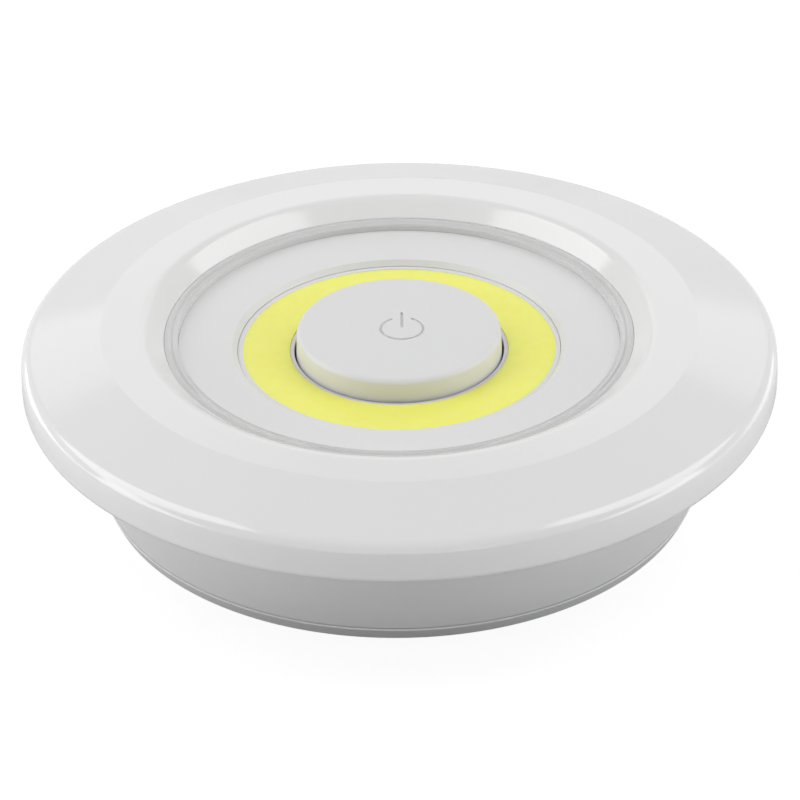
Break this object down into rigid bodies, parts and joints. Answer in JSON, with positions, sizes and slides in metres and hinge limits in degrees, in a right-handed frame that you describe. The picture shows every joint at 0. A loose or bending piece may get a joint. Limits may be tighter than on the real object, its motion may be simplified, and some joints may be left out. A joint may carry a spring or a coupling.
{
  "type": "puck light",
  "caption": "Round battery puck light: a ring of light around a push button in a domed flange, on a cup with a twist-off battery cover.",
  "frame": {"origin": "centre of the flat back, where the light stands on a table or sticks to a ceiling or wall", "axes": "+Z out of the lit face, +Y towards the top of the power symbol, +X to the right seen with the symbol upright"},
  "size_m": [0.125, 0.125, 0.03],
  "materials": {
    "gloss_white": "glossy white moulded plastic",
    "satin_grey_white": "fine satin light grey plastic",
    "clear_plastic": "clear moulded plastic, polished, with fine steps",
    "phosphor_yellow": "satin yellow phosphor cast in silicone",
    "white_silicone": "satin white silicone bead",
    "white_mask": "white solder mask over aluminium",
    "inner_white": "plain white moulded plastic",
    "board_green": "green solder mask over glass laminate",
    "black_moulding": "black moulding compound",
    "nickel_steel": "nickel plated steel",
    "cell_jacket": "plain dark printed film over a steel can",
    "capacitor_can": "bare drawn aluminium",
    "red_insulation": "red lead insulation",
    "black_insulation": "black lead insulation",
    "foam_tape": "white foam tape with a paper liner"
  },
  "bodies": {
    "housing": {"bezel": "gloss_white", "lens_ring": "clear_plastic", "reflector_dish": "satin_grey_white", "phosphor_ring": "phosphor_yellow", "inner_dam": "white_silicone", "outer_dam": "white_silicone", "led_board": "white_mask", "led_carrier": "inner_white", "driver_board": "board_green", "switch_body": "black_moulding", "driver_chip": "black_moulding", "resistor_1": "black_moulding", "resistor_2": "black_moulding", "capacitor": "capacitor_can", "return_spring": "nickel_steel", "board_screw_1": "nickel_steel", "board_screw_2": "nickel_steel", "case_screw_1": "nickel_steel", "case_screw_2": "nickel_steel", "case_screw_3": "nickel_steel", "contact_positive": "nickel_steel", "contact_negative": "nickel_steel", "bridge_left": "nickel_steel", "bridge_right": "nickel_steel", "cell_spring_1": "nickel_steel", "cell_spring_2": "nickel_steel", "cell_spring_3": "nickel_steel", "cell_1": "cell_jacket", "cell_2": "cell_jacket", "cell_3": "cell_jacket", "led_lead_red": "red_insulation", "led_lead_black": "black_insulation", "battery_lead_red": "red_insulation", "battery_lead_black": "black_insulation", "housing_cup": "gloss_white"},
    "button": {"button_cap": "satin_grey_white", "switch_plunger": "inner_white"},
    "cover": {"back_cover": "gloss_white", "mounting_pad": "foam_tape"}
  },
  "joints": [
    {"name": "button_press", "type": "slide", "parent": "housing", "child": "button", "axis": [0, 0, -1], "range_m": [0, 0.0012], "stiffness_N_per_m": 600, "springref_m": -0.0015, "deforming": ["return_spring"]},
    {"name": "cover_turn", "type": "hinge", "parent": "housing", "child": "cover", "pos_m": [0, 0, 0], "axis": [0, 0, -1], "range_deg": [0, 15]}
  ]
}
